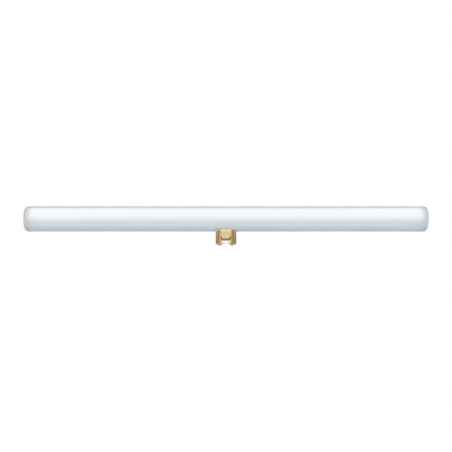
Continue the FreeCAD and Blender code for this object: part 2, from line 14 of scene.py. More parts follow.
import bmesh
import bpy
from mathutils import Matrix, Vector


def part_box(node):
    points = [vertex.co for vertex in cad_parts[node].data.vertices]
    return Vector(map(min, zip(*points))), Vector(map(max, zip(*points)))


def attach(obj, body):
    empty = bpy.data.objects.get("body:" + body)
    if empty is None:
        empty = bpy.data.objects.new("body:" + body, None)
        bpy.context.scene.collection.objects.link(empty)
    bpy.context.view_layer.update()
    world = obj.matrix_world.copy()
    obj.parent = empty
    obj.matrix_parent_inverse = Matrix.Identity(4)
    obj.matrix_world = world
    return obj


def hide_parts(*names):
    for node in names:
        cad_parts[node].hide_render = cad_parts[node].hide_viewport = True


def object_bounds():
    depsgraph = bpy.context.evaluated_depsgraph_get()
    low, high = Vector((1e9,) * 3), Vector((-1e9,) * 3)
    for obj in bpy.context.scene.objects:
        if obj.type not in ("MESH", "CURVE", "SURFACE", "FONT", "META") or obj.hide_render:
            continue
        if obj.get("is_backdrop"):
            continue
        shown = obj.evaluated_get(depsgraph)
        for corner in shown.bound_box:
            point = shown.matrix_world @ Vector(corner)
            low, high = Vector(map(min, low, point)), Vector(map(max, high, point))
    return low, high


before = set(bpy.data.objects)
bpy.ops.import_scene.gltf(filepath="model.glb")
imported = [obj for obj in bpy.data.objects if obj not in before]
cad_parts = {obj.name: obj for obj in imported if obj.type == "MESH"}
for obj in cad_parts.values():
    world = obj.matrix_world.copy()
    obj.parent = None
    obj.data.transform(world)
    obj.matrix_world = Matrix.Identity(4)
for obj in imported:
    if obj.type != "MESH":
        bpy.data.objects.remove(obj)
CAD_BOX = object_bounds()

log = logging.getLogger("linear_lamp")

MM = 0.001
BODY = "root"
Colour = tuple[float, float, float, float]
Point = tuple[float, float, float]
Range = tuple[float, float]
Settings = Mapping[str, Any] | None
Sockets = Mapping[str | int, Any] | None
WHITE = (1.0, 1.0, 1.0, 1.0)
BLACK = (0.0, 0.0, 0.0, 1.0)
MIX_FACTOR, MIX_FIRST, MIX_SECOND, MIX_COLOUR = 0, 6, 7, 2
EDGE_SEGMENTS = 3
MERGE_REACH = 0.0005 * MM
CAD_MERGE_REACH = 0.001 * MM
FLAT_ANGLE = math.radians(0.5)
SMOOTH_ANGLE = math.radians(30.0)
CAD_EDGE_ANGLE = math.radians(40.0)
SHELL_EDGE_ANGLE = math.radians(60.0)


class Side(Enum):
    """The lamp's two sides, each with its own contact, wire and solder in the cap."""

    LEFT = "left"
    RIGHT = "right"

    @property
    def way(self) -> int:
        """Which way along X this side lies."""
        return 1 if self is Side.RIGHT else -1


class Rays(Enum):
    """Outputs of the Light Path node that the backdrop and the room answer to."""

    CAMERA = "Is Camera Ray"
    GLOSSY = "Is Glossy Ray"
    TRANSMISSION = "Is Transmission Ray"


class Weaver:
    """Adds nodes to one node tree, of a material, the world, or a geometry group."""

    def __init__(self, tree: bpy.types.NodeTree) -> None:
        """Keeps the tree that the nodes go into."""
        self.tree = tree

    def add(self, kind: str, settings: Settings = None, sockets: Sockets = None) -> bpy.types.Node:
        """Adds one node, sets it up, and then fills its sockets.

        Args:
            kind: The node's type.
            settings: The node's own properties.
            sockets: Values or links for inputs, by name or by number.

        Returns:
            The new node.
        """
        node = self.tree.nodes.new(kind)
        for name, value in (settings or {}).items():
            setattr(node, name, value)
        for key, value in (sockets or {}).items():
            self.feed(node.inputs[key], value)
        return node

    def feed(self, target: bpy.types.NodeSocket, value: Any) -> None:
        """Links a signal or a socket to an input, or sets the input's own value.

        Args:
            target: The input to fill.
            value: A signal, an output socket, or a plain value.
        """
        if isinstance(value, Signal):
            value = value.socket
        if isinstance(value, bpy.types.NodeSocket):
            self.tree.links.new(value, target)
        else:
            target.default_value = value

    def signal(
        self, kind: str, output: str | int, settings: Settings = None, sockets: Sockets = None
    ) -> "Signal":
        """Adds one node, as add() does, and gives one of its outputs by name or number."""
        return Signal(self, self.add(kind, settings, sockets).outputs[output])

    def split(self, vector: Any) -> tuple["Signal", "Signal", "Signal"]:
        """Splits a vector into its X, Y and Z parts."""
        node = self.add("ShaderNodeSeparateXYZ", sockets={"Vector": vector})
        return tuple(Signal(self, node.outputs[axis]) for axis in "XYZ")

    def ramp(self, value: Any, low: float, high: float) -> "Signal":
        """Rises smoothly from 0, where a value is low, to 1, where it is high."""
        sockets = {"Value": value, "From Min": low, "From Max": high}
        return self.signal("ShaderNodeMapRange", "Result", {"interpolation_type": "SMOOTHSTEP"}, sockets)

    def mix(self, factor: Any, first: Any, second: Any) -> "Signal":
        """Mixes two colours. The factor says how much of the second one shows."""
        sockets = {MIX_FACTOR: factor, MIX_FIRST: first, MIX_SECOND: second}
        return self.signal("ShaderNodeMix", MIX_COLOUR, {"data_type": "RGBA"}, sockets)

    def rays(self) -> Iterator["Signal"]:
        """Gives the Light Path node's outputs, in the order of Rays."""
        node = self.add("ShaderNodeLightPath")
        return (Signal(self, node.outputs[ray.value]) for ray in Rays)

    def principled(self, sockets: Mapping[str, Any]) -> bpy.types.NodeSocket:
        """Adds a Principled shader with these inputs and returns its output."""
        return self.add("ShaderNodeBsdfPrincipled", sockets=sockets).outputs["BSDF"]


class Signal:
    """A number that varies over a surface or a shape: Python arithmetic on it adds Math nodes."""

    def __init__(self, weaver: Weaver, socket: bpy.types.NodeSocket) -> None:
        """Wraps an output socket, with the weaver of its tree."""
        self.weaver = weaver
        self.socket = socket

    def _math(self, operation: str, *values: Any) -> "Signal":
        """Adds one Math node, with its inputs in order."""
        return self.weaver.signal("ShaderNodeMath", 0, {"operation": operation}, dict(enumerate(values)))

    def __add__(self, other: Any) -> "Signal":
        """Adds."""
        return self._math("ADD", self, other)

    __radd__ = __add__

    def __sub__(self, other: Any) -> "Signal":
        """Subtracts."""
        return self._math("SUBTRACT", self, other)

    def __rsub__(self, other: Any) -> "Signal":
        """Subtracts from a plain number."""
        return self._math("SUBTRACT", other, self)

    def __mul__(self, other: Any) -> "Signal":
        """Multiplies."""
        return self._math("MULTIPLY", self, other)

    __rmul__ = __mul__

    def __truediv__(self, other: Any) -> "Signal":
        """Divides."""
        return self._math("DIVIDE", self, other)

    def __abs__(self) -> "Signal":
        """Drops the sign."""
        return self._math("ABSOLUTE", self)

    def at_least(self, other: Any) -> "Signal":
        """Gives the larger of two values."""
        return self._math("MAXIMUM", self, other)

    def at_most(self, other: Any) -> "Signal":
        """Gives the smaller of two values."""
        return self._math("MINIMUM", self, other)

    def above(self, other: Any) -> "Signal":
        """Gives 1 where this value is the larger one, and 0 elsewhere."""
        return self._math("GREATER_THAN", self, other)

    def sign(self) -> "Signal":
        """Gives -1, 0 or 1."""
        return self._math("SIGN", self)

    def sin(self) -> "Signal":
        """Gives the sine of an angle in radians."""
        return self._math("SINE", self)

    def cos(self) -> "Signal":
        """Gives the cosine of an angle in radians."""
        return self._math("COSINE", self)

    def exp(self) -> "Signal":
        """Raises e to this power."""
        return self._math("EXPONENT", self)

    def arcsin(self) -> "Signal":
        """Gives the angle in radians whose sine this is."""
        return self._math("ARCSINE", self)


@dataclass(frozen=True)
class Pattern:
    """A noise pattern: its repeats a metre, its finer layers, their strength, and its stretch."""

    scale: float
    detail: float = 3.0
    roughness: float = 0.5
    stretch: Point | None = None

    def on(self, weaver: Weaver, place: Signal) -> Signal:
        """Lays the pattern over a surface.

        Args:
            weaver: The weaver of the material's tree.
            place: The surface's coordinates.

        Returns:
            The pattern, from 0 to 1.
        """
        if self.stretch:
            sockets = {"Vector": place, "Scale": self.stretch}
            place = weaver.signal("ShaderNodeMapping", 0, sockets=sockets)
        sockets = {"Vector": place, "Scale": self.scale, "Detail": self.detail, "Roughness": self.roughness}
        return weaver.signal("ShaderNodeTexNoise", 0, sockets=sockets)


@dataclass(frozen=True)
class Finish:
    """What every finish has: the record's slot, which names the material, and the way to its shader."""

    slot: str

    def material(self) -> bpy.types.Material:
        """Makes the material, with its output joined to what dress() returns.

        Returns:
            The new material.
        """
        material = bpy.data.materials.new(self.slot)
        material.use_nodes = True
        material.node_tree.nodes.clear()
        weaver = Weaver(material.node_tree)
        shader = self.dress(weaver)
        weaver.add("ShaderNodeOutputMaterial", sockets={"Surface": shader})
        return material

    def dress(self, weaver: Weaver) -> bpy.types.NodeSocket:
        """Builds the finish's nodes.

        Args:
            weaver: The weaver of the material's tree.

        Returns:
            The shader to show.
        """
        raise NotImplementedError

    @staticmethod
    def place(weaver: Weaver) -> Signal:
        """Reads a point's place in the lamp's own frame."""
        return weaver.signal("ShaderNodeTexCoord", "Object")

    @staticmethod
    def bump(weaver: Weaver, height: Any, depth: float, strength: float = 1.0, under: Any = None) -> Signal:
        """Turns a height pattern into a surface normal.

        Args:
            weaver: The weaver of the material's tree.
            height: The pattern, from 0 to 1.
            depth: How deep the pattern is, in metres.
            strength: How much of it shows.
            under: A bumped normal for it to build on, when there is one.

        Returns:
            The bumped normal.
        """
        sockets = {"Height": height, "Distance": depth, "Strength": strength}
        if under is not None:
            sockets["Normal"] = under
        return weaver.signal("ShaderNodeBump", "Normal", sockets=sockets)


@dataclass(frozen=True)
class OpalGlass(Finish):
    """White opal under clear glass: glossy and faintly cloudy, with painted shade that darkens its colour
    towards the two ends.
    """

    half_length: float
    body: Colour = (0.845, 0.852, 0.862, 1.0)
    # The colour of the painted shade at the very ends of the tube.
    painted_end_shade: Colour = (0.340, 0.390, 0.430, 1.0)
    most_end_shade: float = 0.45
    end_reach: float = 5.5 * MM
    tint: Colour = (0.62, 0.68, 0.76, 1.0)
    clouds: Pattern = Pattern(55.0, 4.0, stretch=(0.3, 1.0, 1.0))
    cloud_amount: float = 0.012
    streaks: Pattern = Pattern(420.0, 2.0, stretch=(0.02, 1.0, 1.0))
    streak_amount: float = 0.006
    haze: Pattern = Pattern(24.0, 5.0, 0.6)
    haze_roughness: float = 0.06
    waves: Pattern = Pattern(60.0, 1.0, stretch=(0.15, 1.0, 1.0))
    wave_depth: float = 0.012 * MM
    wave_amount: float = 0.5
    roughness: float = 0.06
    ior: float = 1.45
    gloss_roughness: float = 0.02
    gloss_ior: float = 1.85

    def dress(self, weaver: Weaver) -> bpy.types.NodeSocket:
        """Builds the glass. See Finish.dress."""
        place = self.place(weaver)
        along, _, _ = weaver.split(place)
        # Painted shade: the colour darkens towards each end of the tube, fading out over end_reach.
        end_shade = ((abs(along) - self.half_length) / self.end_reach).exp().at_most(self.most_end_shade)
        colour = weaver.mix(end_shade, self.body, self.painted_end_shade)
        clouds = self.cloud_amount * self.clouds.on(weaver, place)
        streaks = self.streak_amount * self.streaks.on(weaver, place)
        waves = self.waves.on(weaver, place)
        return weaver.principled({
            "Base Color": weaver.mix(clouds + streaks, colour, self.tint),
            "Roughness": self.roughness + self.haze_roughness * self.haze.on(weaver, place),
            "IOR": self.ior,
            "Coat Weight": 1.0,
            "Coat Roughness": self.gloss_roughness,
            "Coat IOR": self.gloss_ior,
            "Normal": self.bump(weaver, waves, self.wave_depth, self.wave_amount),
        })


@dataclass(frozen=True)
class DrawnBrass(Finish):
    """Brass sheet with the fine upright lines of its drawing, handled and slightly toned.

    A bulge of the straight sides, which end at the half run, shows in the normal alone.
    """

    bright: Colour = (0.84, 0.66, 0.39, 1.0)
    toned: Colour = (0.66, 0.45, 0.20, 1.0)
    clouds: Pattern = Pattern(260.0, 5.0, 0.6)
    tone_range: Range = (0.42, 0.78)
    tone_amount: float = 0.30
    specks: Pattern = Pattern(2600.0, 2.0)
    speck_range: Range = (0.66, 0.78)
    speck_amount: float = 0.25
    speck_height: float = 0.4
    lines: Pattern = Pattern(5200.0, 3.0, 0.6, (1.0, 1.0, 0.03))
    line_depth: float = 0.004 * MM
    roughness: float = 0.17
    most_rougher: float = 0.10
    bulge: float = 0.0
    half_run: float = 5.65 * MM

    def dress(self, weaver: Weaver) -> bpy.types.NodeSocket:
        """Builds the brass. See Finish.dress."""
        place = self.place(weaver)
        lines = self.lines.on(weaver, place)
        specks = self.specks.on(weaver, place)
        tone = weaver.ramp(self.clouds.on(weaver, place), *self.tone_range)
        colour = weaver.mix(tone * self.tone_amount, self.bright, self.toned)
        speck = weaver.ramp(specks, *self.speck_range) * self.speck_amount
        along, _, _ = weaver.split(place)
        reach = abs(along).at_most(self.half_run)
        slope = self.bulge / self.half_run
        fall = reach * reach * (slope / self.half_run) + (abs(along) - reach) * (2 * slope)
        wall = self.bump(weaver, 0.0 - fall, 1.0)
        marks = lines + self.speck_height * specks
        return weaver.principled({
            "Base Color": weaver.mix(speck, colour, self.toned),
            "Metallic": 1.0,
            "Roughness": self.roughness + self.most_rougher * lines + self.most_rougher * tone,
            "Normal": self.bump(weaver, marks, self.line_depth, under=wall),
        })


@dataclass(frozen=True)
class IvoryMoulding(Finish):
    """Ivory moulding compound: a hard, slightly glossy skin with fine grain and a few dark specks."""

    body: Colour = (0.98, 0.89, 0.72, 1.0)
    pale: Colour = (0.99, 0.92, 0.80, 1.0)
    clouds: Pattern = Pattern(320.0, 4.0)
    cloud_amount: float = 0.25
    speck: Colour = (0.50, 0.40, 0.28, 1.0)
    specks: Pattern = Pattern(1900.0, 1.0)
    speck_range: Range = (0.72, 0.78)
    speck_amount: float = 0.5
    grain: Pattern = Pattern(4200.0)
    grain_depth: float = 0.002 * MM
    grain_roughness: float = 0.08
    roughness: float = 0.10
    skin_weight: float = 0.6
    skin_roughness: float = 0.08

    def dress(self, weaver: Weaver) -> bpy.types.NodeSocket:
        """Builds the moulding. See Finish.dress."""
        place = self.place(weaver)
        grain = self.grain.on(weaver, place)
        specks = weaver.ramp(self.specks.on(weaver, place), *self.speck_range)
        colour = weaver.mix(self.cloud_amount * self.clouds.on(weaver, place), self.body, self.pale)
        return weaver.principled({
            "Base Color": weaver.mix(self.speck_amount * specks, colour, self.speck),
            "Roughness": self.roughness + self.grain_roughness * grain,
            "Coat Weight": self.skin_weight,
            "Coat Roughness": self.skin_roughness,
            "Normal": self.bump(weaver, grain, self.grain_depth),
        })


@dataclass(frozen=True)
class BasingCement(Finish):
    """Pale gritty cement, matt, with open pores."""

    body: Colour = (0.66, 0.62, 0.54, 1.0)
    pore: Colour = (0.42, 0.38, 0.31, 1.0)
    pore_range: Range = (0.35, 0.7)
    grit: Pattern = Pattern(1500.0, 5.0, 0.7)
    grit_depth: float = 0.08 * MM
    grit_roughness: float = 0.1
    roughness: float = 0.85

    def dress(self, weaver: Weaver) -> bpy.types.NodeSocket:
        """Builds the cement. See Finish.dress."""
        grit = self.grit.on(weaver, self.place(weaver))
        return weaver.principled({
            "Base Color": weaver.mix(weaver.ramp(grit, *self.pore_range), self.body, self.pore),
            "Roughness": self.roughness + self.grit_roughness * grit,
            "Normal": self.bump(weaver, grit, self.grit_depth),
        })


@dataclass(frozen=True)
class SoftMetal(Finish):
    """Tinned or nickelled metal: bright, rippled where it flowed or was drawn."""

    bright: Colour
    dull: Colour
    ripples: Pattern
    ripple_depth: float
    roughness: float
    ripple_roughness: float = 0.15
    dull_range: Range = (0.4, 0.75)

    def dress(self, weaver: Weaver) -> bpy.types.NodeSocket:
        """Builds the metal. See Finish.dress."""
        ripples = self.ripples.on(weaver, self.place(weaver))
        return weaver.principled({
            "Base Color": weaver.mix(weaver.ramp(ripples, *self.dull_range), self.bright, self.dull),
            "Metallic": 1.0,
            "Roughness": self.roughness + self.ripple_roughness * ripples,
            "Normal": self.bump(weaver, ripples, self.ripple_depth),
        })


@dataclass(frozen=True)
class GlassTube:
    """The sealed tube: a straight wall, a round corner and a shallow dome at each end."""

    node: str = "opal_tube"
    piece: str = "glass_tube"
    corner_radius: float = 4.8 * MM
    dome_radius: float = 140.0 * MM
    wall_share: float = 0.22
    corner_share: float = 0.44
    rings: int = 121
    segments: int = 144
    merge_reach: float = 0.002 * MM

    @property
    def length(self) -> float:
        """The tube's length, from the frame."""
        low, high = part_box(self.node)
        return high.x - low.x

    @property
    def radius(self) -> float:
        """The tube's outer radius, from the frame."""
        low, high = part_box(self.node)
        return (high.z - low.z) / 2

    @property
    def axis_height(self) -> float:
        """How high the tube's axis lies, from the frame."""
        low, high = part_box(self.node)
        return (high.z + low.z) / 2

    def sizes(self) -> dict[str, float]:
        """Names the group's inputs and their values."""
        return {
            "Half Length": self.length / 2,
            "Radius": self.radius,
            "Corner Radius": self.corner_radius,
            "Dome Radius": self.dome_radius,
            "Axis Height": self.axis_height,
        }

    def build_group(self, material: bpy.types.Material) -> bpy.types.NodeTree:
        """Builds the node group that turns a flat grid into the tube's skin.

        Across the grid, a share runs from 0 in the middle of the tube to 1 at each end. It goes
        along the wall, then round the corner, then down the dome. Up the grid is once round.

        Args:
            material: The finish to set.

        Returns:
            The node group.
        """
        group = bpy.data.node_groups.new("tube_skin", "GeometryNodeTree")
        for name in self.sizes():
            group.interface.new_socket(name, in_out="INPUT", socket_type="NodeSocketFloat")
        group.interface.new_socket("Geometry", in_out="OUTPUT", socket_type="NodeSocketGeometry")
        weaver = Weaver(group)
        given = weaver.add("NodeGroupInput")
        half, radius, corner, dome, height = (Signal(weaver, given.outputs[name]) for name in self.sizes())
        grid = weaver.add("GeometryNodeMeshGrid", sockets={
            "Size X": 2.0,
            "Size Y": 2.0 * math.pi,
            "Vertices X": self.rings,
            "Vertices Y": self.segments + 1,
        })
        across, around, _ = weaver.split(weaver.signal("GeometryNodeInputPosition", 0))
        share = abs(across)

        tilt = ((radius - corner) / (dome - corner)).arcsin()
        corner_centre = half - dome + (dome - corner) * tilt.cos()
        on_corner = share.above(self.wall_share)
        on_dome = share.above(self.wall_share + self.corner_share)

        wall_x = share / self.wall_share * corner_centre
        turn = ((share - self.wall_share) / self.corner_share) * (math.pi / 2 - tilt)
        corner_x = corner_centre + corner * turn.sin()
        corner_r = radius - corner + corner * turn.cos()
        dome_share = 1.0 - self.wall_share - self.corner_share
        rise = ((1.0 - share) / dome_share).at_least(0.0) * tilt
        dome_x = half - dome + dome * rise.cos()
        dome_r = dome * rise.sin()

        out_x = wall_x + on_corner * (corner_x - wall_x)
        out_x = out_x + on_dome * (dome_x - out_x)
        out_r = radius + on_corner * (corner_r - radius)
        out_r = out_r + on_dome * (dome_r - out_r)
        place = weaver.add("ShaderNodeCombineXYZ", sockets={
            "X": across.sign() * out_x,
            "Y": out_r * around.cos(),
            "Z": height + out_r * around.sin(),
        })
        skin = grid.outputs["Mesh"]
        for kind, sockets in (
            ("GeometryNodeSetPosition", {"Position": place.outputs[0]}),
            ("GeometryNodeMergeByDistance", {"Distance": self.merge_reach}),
            ("GeometryNodeSetShadeSmooth", {}),
            ("GeometryNodeRealizeInstances", {}),
            ("GeometryNodeSetMaterial", {"Material": material}),
        ):
            skin = weaver.add(kind, sockets={"Geometry": skin, **sockets}).outputs[0]
        weaver.add("NodeGroupOutput", sockets={"Geometry": skin})
        return group

    def build(self, finish: Finish) -> bpy.types.Object:
        """Makes the tube and puts it in the place of its CAD node.

        Args:
            finish: The tube's finish.

        Returns:
            The finished piece.
        """
        material = finish.material()
        group = self.build_group(material)
        mesh = bake_group(group, self.sizes())
        turn_outwards(mesh)
        tube = add_piece(self.piece, mesh)
        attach(tube, BODY)
        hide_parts(self.node)
        report(tube)
        return tube


@dataclass(frozen=True)
class CapShell:
    """The drawn brass shell: a stadium in plan, with a skirt, two ridges, two notches and four crimps.

    Its rim rises a little from the straight sides towards the cap's two ends.
    """

    node: str = "cap_shell"
    piece: str = "brass_shell"
    length: float = 25.5 * MM
    width: float = 14.2 * MM
    wall: float = 0.5 * MM
    skirt_foot: float = 15.5 * MM
    skirt_step: float = 0.22 * MM
    skirt_lean: float = math.radians(9.0)
    skirt_turn: float = 0.16 * MM
    ridge_top: float = 11.3 * MM
    ridge_crest: float = 7.5 * MM
    ridge_foot: float = 3.7 * MM
    ridge_width: float = 13.3 * MM
    crest_width: float = 9.0 * MM
    crest_height: float = 0.5 * MM
    ridge_depth: float = 1.1 * MM
    ridge_round: float = 0.45 * MM
    root_round: float = 0.2 * MM
    notch_width: float = 10.5 * MM
    notch_height: float = 4.5 * MM
    notch_round: float = 0.6 * MM
    rim_rise: float = 1.0 * MM
    crimp_reach: float = 1.7 * MM
    crimp_depth: float = 0.42 * MM
    crimp_lip: float = 0.12 * MM
    lip_share: float = 0.3
    glass_gap: float = 0.1 * MM
    step: float = 0.22 * MM
    notch_rows: int = 3
    foot_rows: int = 6
    edge_round: float = 0.12 * MM
    tube: GlassTube = field(default_factory=GlassTube)

    @property
    def half_run(self) -> float:
        """Half the length of each straight side."""
        return (self.length - self.width) / 2

    def columns(self) -> list[tuple[float, float]]:
        """Goes once round the stadium.

        Returns:
            The place of each column in plan. Those at the notches' edges fall exactly on them.
        """
        half_notch = self.notch_width / 2
        stops = [-self.half_run, -half_notch, self.notch_round - half_notch]
        stops += [-stop for stop in reversed(stops)]
        straight = list(spread(stops, self.step))
        radius = self.width / 2
        count = round(math.pi * radius / self.step)
        turns = [math.pi * (index + 0.5) / count - math.pi / 2 for index in range(count)]
        half = [(x, -radius) for x in straight]
        half += [(self.half_run + radius * math.cos(turn), radius * math.sin(turn)) for turn in turns]
        return half + [(-x, -y) for x, y in half]

    def foot_height(self, x: float) -> float:
        """Gives the height at which a column's upper stretch starts, which is the notch's edge inside it."""
        half = self.notch_width / 2
        base = self.notch_height - self.notch_round
        inward = half - abs(x)
        if inward <= 0:
            return base
        if inward >= self.notch_round:
            return self.notch_height
        lag = self.notch_round - inward
        return base + math.sqrt(self.notch_round**2 - lag**2)

    def ridge_relief(self, x: float, y: float, z: float) -> float:
        """Gives how far the ridge stands out of the wall at a point.

        Args:
            x: The point's place along the cap.
            y: The wall's own place there.
            z: The point's height.

        Returns:
            The distance outwards, along Y.
        """
        root = self.width / 2 - self.wall / 2
        rise = self.width / 2 + self.ridge_depth - root
        side = (self.ridge_width / 2 - abs(x)) / ((self.ridge_width - self.crest_width) / 2)
        crest_low = self.ridge_crest - self.crest_height / 2
        crest_high = self.ridge_crest + self.crest_height / 2
        below = (z - self.ridge_foot) / (crest_low - self.ridge_foot)
        above = (self.ridge_top - z) / (self.ridge_top - crest_high)
        round_share = self.ridge_round / rise
        share = smooth_least(smooth_least(below, above, round_share), side, round_share)
        share = smooth_least(share, 1.0, round_share)
        return smooth_most(root + rise * share - abs(y), 0.0, self.root_round)

    def skirt_relief(self, z: float) -> float:
        """Gives how far the skirt stands out at a height, less where it leans in towards the glass."""
        share = smooth_step((z - self.skirt_foot) / self.skirt_turn + 0.5)
        lean = max(0.0, z - self.skirt_foot) * math.tan(self.skirt_lean)
        return share * (self.skirt_step - lean)

    def crimp_relief(self, x: float, z: float) -> float:
        """Gives how far the foot of a leg is bent in beside the notch, with a low lip round the bend."""
        reach = math.hypot(max(0.0, abs(x) - self.notch_width / 2), z)
        bend = smooth_step(1.0 - reach / self.crimp_reach)
        lip = math.exp(-(((reach - self.crimp_reach) / (self.lip_share * self.crimp_reach)) ** 2))
        return self.crimp_lip * lip - self.crimp_depth * bend

    def skin_point(self, x: float, y: float, z: float) -> Point:
        """Moves a point of the plain wall out or in to the pressed skin.

        Args:
            x: The wall's place along the cap.
            y: The wall's place across it.
            z: The height.

        Returns:
            The point on the skin.
        """
        run = max(-self.half_run, min(self.half_run, x))
        outward = Vector((x - run, y, 0.0)).normalized()
        offset = self.skirt_relief(z) + self.crimp_relief(x, z)
        ridge = math.copysign(self.ridge_relief(x, y, z), y)
        return (x + outward.x * offset, y + outward.y * offset + ridge, z)

    def top_height(self, y: float) -> float:
        """Gives the height at which the skirt meets the gap under the glass."""
        reach = self.tube.radius + self.glass_gap
        return self.tube.axis_height - math.sqrt(reach**2 - y**2)

    def skin(self) -> bpy.types.Mesh:
        """Makes the shell's outer skin as one grid, open at the rim, the notches and the saddle.

        Returns:
            The skin's mesh.
        """
        builder = bmesh.new()
        leg_top = self.notch_height - self.notch_round
        leg_rows = list(spread([0.0, leg_top], self.step))[:-1]
        counts = self.row_counts()
        columns = []
        for x, y in self.columns():
            inside = abs(x) < self.notch_width / 2 - self.step / 10
            rise = self.rim_rise * max(0.0, abs(x) - self.half_run) / (self.width / 2)
            feet = [] if inside else [z + rise * (1.0 - z / leg_top) for z in leg_rows]
            stops = [self.foot_height(x), self.notch_height + 2 * self.step, self.skirt_foot - self.step]
            stops += [self.skirt_foot + self.step, self.top_height(y)]
            columns.append([
                [builder.verts.new(self.skin_point(x, y, z)) for z in heights]
                for heights in (feet, divide(stops, counts))
            ])
        for (leg, upper), (next_leg, next_upper) in zip(columns, columns[1:] + columns[:1]):
            joined = leg and next_leg
            here, there = (leg + upper, next_leg + next_upper) if joined else (upper, next_upper)
            for corners in zip(here, there, there[1:], here[1:]):
                builder.faces.new(corners)
        return finish_mesh(builder, self.piece)

    def row_counts(self) -> list[int]:
        """Gives how many rows each stretch of a column has, the same for every column."""
        plain = self.skirt_foot - self.step - self.notch_height - 2 * self.step
        skirt = self.top_height(self.width / 2) - self.skirt_foot - self.step
        return [self.notch_rows, round(plain / self.step), self.foot_rows, round(skirt / self.step)]

    def build(self, finish: Finish) -> bpy.types.Object:
        """Makes the shell and puts it in the place of its CAD node.

        Args:
            finish: The shell's finish.

        Returns:
            The finished piece.
        """
        mesh = self.skin()
        turn_outwards(mesh)
        shell = add_piece(self.piece, mesh)
        wall = shell.modifiers.new("wall", "SOLIDIFY")
        wall.thickness = self.wall
        wall.offset = -1.0
        wall.use_even_offset = False
        round_edges(shell, self.edge_round, SHELL_EDGE_ANGLE)
        dress_piece(shell, finish)
        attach(shell, BODY)
        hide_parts(self.node)
        report(shell)
        return shell


@dataclass(frozen=True)
class CapInsides:
    """The moulded block in the shell, with its contacts, wires, solder and cement."""

    block: str = "cap_insulator"
    cement: str = "cap_cement"
    block_edge: float = 0.15 * MM
    contact_edge: float = 0.1 * MM

    def build(self, finishes: Mapping[str, Finish]) -> list[bpy.types.Object]:
        """Dresses the CAD nodes of the cap's insides, and gives the moulded block soft edges.

        Args:
            finishes: Each finish by its slot.

        Returns:
            The dressed pieces.
        """
        ivory = finishes["ivory_insulator"]
        pieces = [soften_node(self.block, "insulator_block", self.block_edge, ivory)]
        brass = finishes["contact_brass"]
        for side in Side:
            plate = f"contact_{side.value}"
            pieces.append(soften_node(plate, f"{plate}_plate", self.contact_edge, brass))
            pieces.append(dress_node(f"lead_wire_{side.value}", finishes["wire_nickel"]))
            pieces.append(dress_node(f"solder_{side.value}", finishes["solder_tin"]))
        pieces.append(dress_node(self.cement, finishes["basing_cement"]))
        return pieces


@dataclass(frozen=True)
class Backdrop(Finish):
    """The floor: pale and matt, white to the camera, and clear from beneath. Gloss sees it white far back."""

    colour: Colour = (0.60, 0.70, 0.80, 1.0)
    fleck: Colour = (0.8, 0.8, 0.8, 1.0)
    flecks: Pattern = Pattern(40.0)
    fleck_amount: float = 0.04
    roughness: float = 0.9
    lift: float = 0.90
    white_range: Range = (1.2, 3.0)

    def dress(self, weaver: Weaver) -> bpy.types.NodeSocket:
        """Builds the floor. See Finish.dress."""
        camera, glossy, transmission = weaver.rays()
        place = self.place(weaver)
        _, depth, _ = weaver.split(place)
        behind = weaver.ramp(depth, *self.white_range)
        seen = camera.at_least((glossy + transmission) * behind).at_most(1.0)
        colour = weaver.mix(self.fleck_amount * self.flecks.on(weaver, place), self.colour, self.fleck)
        matt = weaver.principled({"Base Color": colour, "Roughness": self.roughness})
        glow = weaver.add("ShaderNodeEmission", sockets={"Strength": seen * self.lift})
        paper = weaver.add("ShaderNodeAddShader", sockets={0: matt, 1: glow.outputs[0]})
        beneath = weaver.signal("ShaderNodeNewGeometry", "Backfacing")
        clear = weaver.add("ShaderNodeBsdfTransparent")
        sockets = {0: beneath, 1: paper.outputs[0], 2: clear.outputs[0]}
        return weaver.add("ShaderNodeMixShader", sockets=sockets).outputs[0]


@dataclass(frozen=True)
class DarkCloth(Finish):
    """Dull brown cloth, to keep the floor's light off the cap's lower slopes."""

    colour: Colour = (0.344, 0.237, 0.0995, 1.0)
    nap: Pattern = Pattern(300.0)
    nap_roughness: float = 0.1
    roughness: float = 0.9

    def dress(self, weaver: Weaver) -> bpy.types.NodeSocket:
        """Builds the cloth. See Finish.dress."""
        nap = self.nap.on(weaver, self.place(weaver))
        roughness = self.roughness + self.nap_roughness * nap
        return weaver.principled({"Base Color": self.colour, "Roughness": roughness})


@dataclass(frozen=True)
class SoftboxCloth(Finish):
    """The softbox's cloth: brightest along its low front edge and at its two ends, and dark from behind."""

    strength: float = 1.5
    end_lift: float = 1.1
    end_range: Range = (0.95, 1.0)
    colour: Colour = (1.0, 0.96, 0.92, 1.0)
    levels: tuple[tuple[float, float], ...] = (
        (0.0, 1.0), (0.07, 1.0), (0.15, 0.8), (0.28, 0.53), (0.45, 0.56), (0.69, 0.50), (1.0, 0.50)
    )

    def dress(self, weaver: Weaver) -> bpy.types.NodeSocket:
        """Builds the cloth. See Finish.dress."""
        across, up, _ = weaver.split(weaver.signal("ShaderNodeTexCoord", "UV"))
        end = weaver.ramp(abs(2.0 * across - 1.0), *self.end_range)
        ramp = weaver.add("ShaderNodeValToRGB", sockets={"Fac": up})
        stops = ramp.color_ramp.elements
        while len(stops) < len(self.levels):
            stops.new(1.0)
        for stop, (place, level) in zip(stops, self.levels):
            stop.position = place
            stop.color = (level, level, level, 1.0)
        level = Signal(weaver, ramp.outputs["Color"])
        backfacing = weaver.signal("ShaderNodeNewGeometry", "Backfacing")
        strength = level * self.strength * (1.0 + self.end_lift * end) * (1.0 - backfacing)
        glow = weaver.add("ShaderNodeEmission", sockets={"Color": self.colour, "Strength": strength})
        return glow.outputs[0]


